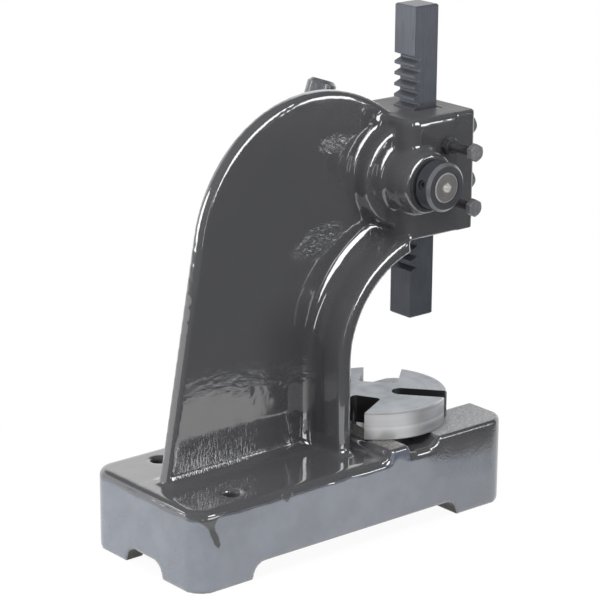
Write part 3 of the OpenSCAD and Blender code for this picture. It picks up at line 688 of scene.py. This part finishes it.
# Painted light: the back of the rim, the lit side, is nearly white.
painted_back_light = times(tree, rim, step(tree, y, plate_axis[1] - 0.040, plate_axis[1] + 0.030), 0.65)
tone = blend(tree, painted_back_light, tone, (0.86, 0.85, 0.84))
# Painted shade: the walls of the slots are dark.
inside_rim = step(tree, radius, plate_radius - 0.0008, plate_radius - 0.0014)
slot_wall_shade = times(tree, inside_rim, step(tree, size(tree, facing(tree)[2]), 0.6, 0.3))
feed(tree, shader, {
    "Base Color": blend(tree, slot_wall_shade, tone, (0.10, 0.10, 0.105)),
    "Metallic": 0.85,
    "Roughness": lerp(tree, cloud, 0.28, 0.38),
    "Normal": relief(tree, rings, 0.00002),
})
paint(["table_plate"], plate_steel)

# %% [markdown]
# ## Closed skins
# The new pieces are surfaces over a grid: a ring of points for each place along an axis or a path. A skin
# joins such rings with squares and closes both ends with a fan, so that it is watertight and faces outwards.
# Edge loops could be bridged by hand, but numbers worked out as a whole grid give the same mesh every time.

# %% Skin of rings
def build(name, points, faces):
    """A mesh object from points and faces, linked into the scene."""
    mesh = bpy.data.meshes.new(name)
    mesh.from_pydata(points, [], faces)
    piece = bpy.data.objects.new(name, mesh)
    bpy.context.scene.collection.objects.link(piece)
    print(name, "has", len(mesh.polygons), "faces")
    return piece


def skin(name, rings, first_tip, last_tip):
    """Joins rings of points, listed along +X and turning from +Y to +Z, into a closed mesh: squares between
    the rings and a fan of triangles to the tip at either end."""
    rows, count, _ = rings.shape
    points = np.concatenate([rings.reshape(-1, 3), np.array([first_tip, last_tip])])
    here = np.arange(count)
    after = (here + 1) % count
    start = (np.arange(rows - 1) * count)[:, None]
    walls = np.stack([start + here, start + after, start + count + after, start + count + here], axis=-1)
    first_fan = np.stack([after, here, np.full(count, rows * count)], axis=-1)
    last_fan = np.stack([here, after, np.full(count, rows * count + 1)], axis=-1)
    last_fan[:, :2] += (rows - 1) * count
    faces = walls.reshape(-1, 4).tolist() + first_fan.tolist() + last_fan.tolist()
    piece = build(name, points.tolist(), faces)
    piece.data.shade_smooth()
    piece.data.set_sharp_from_angle(angle=math.radians(32))
    return piece


# %% [markdown]
# ## Threaded gib bolts
# Two bolts press the gib against the ram, and their threads show between head and lock nut. A rolled thread
# is a ridge that climbs one pitch in each turn, and a hexagon head is a radius that grows from the middle of
# each flat to its corner. So the whole bolt is one radius over the turn about its axis and the length along
# it, and one grid of points draws it. The solid's own box gives the axis and both ends.

# %% Gib bolts
def gib_bolt(name, node, across=0.010, tall=0.004, crest=0.0030, depth=0.00061, pitch=0.0010):
    """A bolt along X with its head at the low end. Head radius: the smaller of a hexagon and a cone. Shank
    radius: the root plus a ridge that rises and falls once per pitch and starts later as the turn grows,
    or the cone of the shank's pointed end where that is smaller."""
    low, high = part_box(node)
    middle_y = (low.y + high.y) / 2
    middle_z = (low.z + high.z) / 2
    steps_round, rings_per_pitch = 72, 9
    face_share, cone_slope = 0.93, 1.34
    ridge_slope, root_flat = 1.35, 0.15
    point_slope, point_length = 0.7, 0.0012
    turn = np.linspace(0, 2 * math.pi, steps_round, endpoint=False)
    hexagon = across / 2 / np.cos((turn + math.pi / 6) % (math.pi / 3) - math.pi / 6)
    head = np.array([0, 0.12, 0.26, 0.40, 0.54, 0.68, 0.84, 1.1]) * 0.001
    cone = face_share * across / 2 + cone_slope * head
    head_radius = np.minimum(hexagon, cone[:, None])
    length = high.x - low.x
    along = np.linspace(tall, length, int((length - tall) / pitch * rings_per_pitch))
    phase = (along[:, None] / pitch - turn / (2 * math.pi)) % 1
    ridge = np.clip(ridge_slope * (1 - np.abs(2 * phase - 1)) - root_flat, 0, 1)
    point = crest - point_slope * (along[:, None] - length + point_length)
    shank_radius = np.minimum(crest - depth + depth * ridge, point)
    radius = np.vstack([head_radius, hexagon[None], shank_radius])
    place_x = low.x + np.concatenate([head, [tall], along])
    rings = np.stack([
        np.broadcast_to(place_x[:, None], radius.shape),
        middle_y + radius * np.cos(turn),
        middle_z + radius * np.sin(turn),
    ], axis=-1)
    piece = skin(name, rings, (low.x, middle_y, middle_z), (high.x, middle_y, middle_z))
    piece.data.materials.append(oiled)
    piece.data.materials.append(thread_dark)
    threaded = np.zeros(len(piece.data.polygons), dtype=np.int32)
    threaded[len(head) * len(turn):-2 * len(turn)] = 1
    piece.data.polygons.foreach_set("material_index", threaded)
    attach(piece, "frame")
    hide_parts(node)


for side in ("upper", "lower"):
    gib_bolt(side + "_gib_bolt", "gib_bolt_" + side)

# %% [markdown]
# ## Enamel over the seam
# The head was painted with its cover bolted on, so on this side the enamel bridges the joint between the two
# castings. Merging the two would close the joint on every side, so the bridge is a thin strip of its own with
# a flat lens as its section. The section is swept along a path that runs over the top, round the corner,
# down the side and under the head.

# %% Seam
def seam(name, inner_x, outer_x, low_z, high_z, middle_y, half=0.0021, bend=0.0019):
    """Sweeps a lens section along a U path. The path keeps the distance bend from a smaller U with sharp
    corners, in a direction that turns from up to sideways to down. The section adds its width along Y and
    its height along that direction."""
    flat = np.linspace(inner_x, outer_x + bend, 12)[:-1]
    down = np.linspace(high_z - bend, low_z + bend, 40)[1:-1]
    quarter = np.linspace(0, math.pi / 2, 10)
    ends = np.zeros(len(flat))
    arc = len(quarter)
    outward = math.pi / 2 + np.concatenate([
        ends, quarter, np.full(len(down), math.pi / 2), math.pi / 2 + quarter, ends + math.pi,
    ])[:, None]
    core_x = np.concatenate([flat, np.full(2 * arc + len(down), outer_x + bend), flat[::-1]])[:, None]
    top = np.full(len(flat) + arc, high_z - bend)
    bottom = np.full(len(flat) + arc, low_z + bend)
    core_z = np.concatenate([top, down, bottom])[:, None]
    width = np.array([-1.0, -1.0, -0.5, 0.0, 0.5, 1.0, 1.0, 0.0]) * half
    rise = np.array([-0.4, 0.0, 0.04, 0.05, 0.04, 0.0, -0.4, -0.6]) * 0.001
    rings = np.stack([
        core_x + (bend + rise) * np.cos(outward),
        np.broadcast_to(middle_y + width, (len(core_x), len(width))),
        core_z + (bend + rise) * np.sin(outward),
    ], axis=-1)
    return skin(name, rings, rings[0].mean(axis=0), rings[-1].mean(axis=0))


strip_end_x = -0.015
strip = seam("seam_enamel", strip_end_x, cover_low.x, cover_low.z, cover_high.z, cover_high.y)
strip.data.materials.append(enamel)
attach(strip, "frame")

# %% [markdown]
# ## The table
# The press stands on a pale round table in front of white. Glossy enamel mirrors all that stands around it,
# so the table is built for its reflections too. It shows as the bright patch at the column's foot, and two
# dark zones, which only mirrors see, keep the rest of the web deep grey. More lamps could not do that.

# %% Table
def rays(tree):
    """Whether a ray comes from the camera, and whether it comes from a mirror or through glass."""
    kinds = add(tree, "ShaderNodeLightPath", {}).outputs
    return kinds["Is Camera Ray"], most(tree, kinds["Is Glossy Ray"], kinds["Is Transmission Ray"])


table_radius = 0.270
zone_slant = 0.807
around = np.linspace(0, 2 * math.pi, 160, endpoint=False)
edge = np.stack([table_radius * np.cos(around), table_radius * np.sin(around), 0 * around], axis=1)
table = build("white_table", edge.tolist(), [tuple(range(len(edge)))])
table_white, tree, shader = finish("table_white")
feed(tree, shader, {"Base Color": (0.85, 0.85, 0.86), "Roughness": 0.6})
from_camera, mirrored = rays(tree)
_, across, along, _ = place(tree)
beside = step(tree, minus(tree, along, times(tree, across, zone_slant)), 0.042, 0.036)
beside = times(tree, beside, step(tree, across, -0.147, -0.153))
before = times(tree, step(tree, along, -0.136, -0.150), step(tree, across, -0.124, -0.134))
dimmed = times(tree, mirrored, lerp(tree, most(tree, beside, before), 0.18, 0.95))
glow = add(tree, "ShaderNodeEmission", {"Color": (1.0, 1.0, 1.0), "Strength": minus(tree, 1.0, dimmed)})
seen = most(tree, times(tree, from_camera, 0.94), mirrored)
mix = add(tree, "ShaderNodeMixShader", {0: seen, 1: shader.outputs[0], 2: glow.outputs[0]})
feed(tree, tree.nodes["Material Output"], {"Surface": mix.outputs[0]})
table.data.materials.append(table_white)
print("table is", 2 * table_radius, "m across")

# %% [markdown]
# ## The room
# The camera sees plain white behind the press, and so do surfaces that mirror the backdrop. In other
# directions a mirror sees a dim room, which keeps the enamel dark between its highlights. Walls could be
# built, but the world's own shader can tell directions apart with far less to render.

# %% Room
world = bpy.data.worlds.new("studio")
bpy.context.scene.world = world
world.use_nodes = True
tree = world.node_tree
from_camera, mirrored = rays(tree)
direction = add(tree, "ShaderNodeTexCoord", {}).outputs["Generated"]
rise = add(tree, "ShaderNodeSeparateXYZ", {0: direction}).outputs[2]
straight_back = (-back.x, -back.y, 0)
behind = add(tree, "ShaderNodeVectorMath", {0: direction, 1: straight_back}, operation="DOT_PRODUCT")
backdrop = times(tree, step(tree, behind.outputs["Value"], 0.25, 0.50), step(tree, rise, 0.62, 0.40))
seen = most(tree, from_camera, times(tree, mirrored, backdrop))
room = tree.nodes["Background"]
room_tone = blend(tree, mirrored, (0.38, 0.39, 0.41), (0.07, 0.072, 0.078))
feed(tree, room, {"Color": room_tone, "Strength": 1.0})
white = add(tree, "ShaderNodeBackground", {"Color": (1.0, 1.0, 1.0), "Strength": 1.0})
mix = add(tree, "ShaderNodeMixShader", {0: seen, 1: room.outputs[0], 2: white.outputs[0]})
feed(tree, tree.nodes["World Output"], {"Surface": mix.outputs[0]})
print("room is white behind the press")

# %% [markdown]
# ## The lamps
# Tall soft lamps stand around the press like studio panels. Four of them show in the enamel: each draws one
# set of bright lines along the rounded edges. Three more only fill the shade, so reflections leave them out.
# A lamp is given by its brightness per area, because that is what its mirror image shows at any size.

# %% Lamps
def softbox(name, bearing, bottom, top, width, radiance, mirrored=True, distance=1.3):
    """An upright lamp that faces the press between two heights. The bearing is counted from +X towards +Y."""
    lamp = bpy.data.lights.new(name, "AREA")
    lamp.shape = "RECTANGLE"
    lamp.size = width
    lamp.size_y = top - bottom
    lamp.energy = radiance * math.pi * width * (top - bottom)
    holder = bpy.data.objects.new(name, lamp)
    turn = math.radians(bearing)
    away = Vector((math.cos(turn), math.sin(turn), 0))
    holder.location = away * distance + Vector((0, 0, (bottom + top) / 2))
    holder.rotation_euler = away.to_track_quat("Z", "Y").to_euler()
    holder.visible_glossy = mirrored
    bpy.context.scene.collection.objects.link(holder)
    print(name, "gives", round(lamp.energy, 1), "W")
    return holder


left_bearing = 42
softbox("left_light", left_bearing, bottom=0.13, top=0.72, width=0.20, radiance=5)
softbox("right_light", 190.7, bottom=0.24, top=0.90, width=0.86, radiance=6)
softbox("low_light", 220, bottom=0.05, top=0.25, width=0.17, radiance=6)
softbox("front_light", 146, bottom=0.11, top=0.69, width=0.10, radiance=4)
softbox("back_fill", 80, bottom=0.30, top=1.20, width=0.80, radiance=11, mirrored=False)
softbox("far_fill", 325, bottom=0.02, top=0.60, width=1.20, radiance=8, mirrored=False)
overhead = softbox("top_light", 150, bottom=1.3, top=2.2, width=0.9, radiance=9, mirrored=False, distance=0.5)
press_middle = Vector((0, 0, 0.15))
overhead.rotation_euler = (overhead.location - press_middle).to_track_quat("Z", "Y").to_euler()

# %% [markdown]
# ## A grey card
# Photographers hide a lamp from one part of an object with a card. This grey one stands behind the base, so
# that the left lamp shows in the upper rim but not in the lower rim and the base's back edge. It glows dimly,
# so that there these mirror a faint grey strip in its place. Only mirrors see it: it casts no shadow and the
# camera looks through it.

# %% Grey card
aim = math.radians(left_bearing)
card_middle = np.array([0.146, 0.263])
card_half, card_bottom, card_top = 0.13, 0.001, 0.153
sideways = np.array([-math.sin(aim), math.cos(aim)])
first_end = card_middle - card_half * sideways
last_end = card_middle + card_half * sideways
lower_edge = [(*first_end, card_bottom), (*last_end, card_bottom)]
upper_edge = [(*last_end, card_top), (*first_end, card_top)]
card = build("grey_card", lower_edge + upper_edge, [(0, 1, 2, 3)])
card.visible_camera = False
card.visible_diffuse = False
card.visible_shadow = False
card_grey, tree, shader = finish("card_grey")
feed(tree, shader, {"Base Color": (0.02, 0.02, 0.02), "Roughness": 0.9})
# The card glows dimly, so that mirrors show a faint grey strip in place of the lamp.
feed(tree, shader, {"Emission Color": (1.0, 1.0, 1.0), "Emission Strength": 0.7})
card.data.materials.append(card_grey)
print("grey card stands", round(float(np.hypot(*card_middle)), 3), "m from the middle")

# %% [markdown]
# ## The view transform
# The picture keeps the standard view transform, so colours are not reshaped on the way out.
# The dressed press has to stay inside the box of its solids.

# %% Finish
bpy.context.scene.view_settings.view_transform = "Standard"
